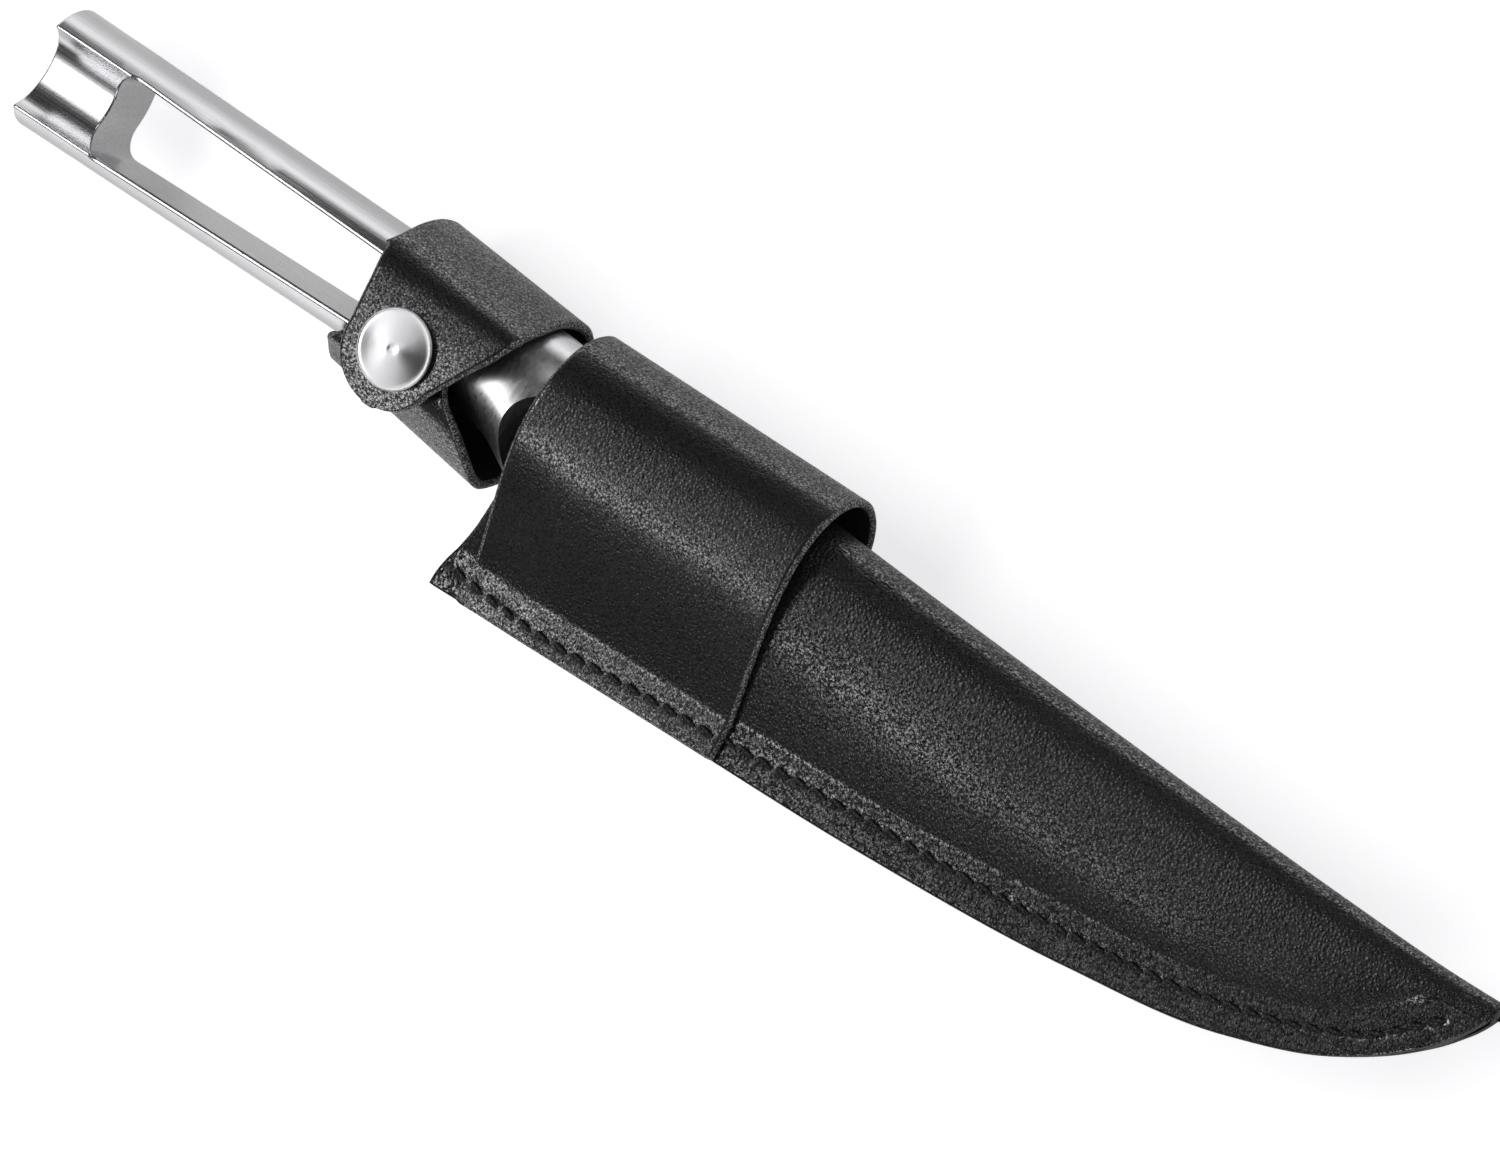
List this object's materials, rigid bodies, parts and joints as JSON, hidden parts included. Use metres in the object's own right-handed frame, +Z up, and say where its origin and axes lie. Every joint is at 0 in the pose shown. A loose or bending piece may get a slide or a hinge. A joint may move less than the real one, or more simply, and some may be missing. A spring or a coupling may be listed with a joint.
{
  "type": "sheathed knife",
  "caption": "Long knife with a slotted round steel handle, held in a folded, stitched leather sheath by a snap strap.",
  "frame": {"origin": "under the middle of the whole object, on the surface it lies on", "axes": "+X along the handle from the butt to the sheath's tip, +Y from the cutting edge to the spine, +Z up, towards the side with the snap"},
  "size_m": [0.331, 0.0556, 0.0374],
  "materials": {
    "satin_steel": "satin, brushed along the bar",
    "blade_steel": "polished bolster, satin ground blade",
    "sheath_leather": "fine pebble grain, semi-gloss",
    "welt_leather": "burnished edge",
    "band_leather": "fine grain, semi-gloss, raw cut edges",
    "strap_leather": "fine grain, semi-gloss, raw cut edges",
    "thread": "waxed black thread",
    "snap_steel": "turned satin with a bright rim"
  },
  "bodies": {
    "sheath": {"sheath_shell": "sheath_leather", "welt": "welt_leather", "throat_band": "band_leather", "front_stitches": "thread", "back_stitches": "thread", "strap": "strap_leather", "strap_stitches": "thread"},
    "knife": {"handle": "satin_steel", "blade": "blade_steel"},
    "upper_strap": {"upper_flap": "strap_leather", "snap_cap": "snap_steel", "snap_socket": "snap_steel", "snap_spring": "snap_steel"},
    "lower_strap": {"lower_flap": "strap_leather", "snap_stud": "snap_steel", "snap_post": "snap_steel"}
  },
  "joints": [
    {"name": "knife_slide", "type": "slide", "parent": "sheath", "child": "knife", "axis": [-1, 0, 0], "range_m": [0, 0.25]},
    {"name": "upper_flap_hinge", "type": "hinge", "parent": "sheath", "child": "upper_strap", "pos_m": [-0.07, 0.01993, 0.0332], "axis": [-1, 0, 0], "range_deg": [0, 110]},
    {"name": "lower_flap_hinge", "type": "hinge", "parent": "sheath", "child": "lower_strap", "pos_m": [-0.0725, -0.00307, 0.0048], "axis": [0.9905, -0.1376, 0], "range_deg": [0, 80], "deforming": ["lower_flap"]}
  ],
  "couplings": [
    {"joint": "lower_flap_hinge", "follows": "upper_flap_hinge", "ratio": 0.727}
  ]
}
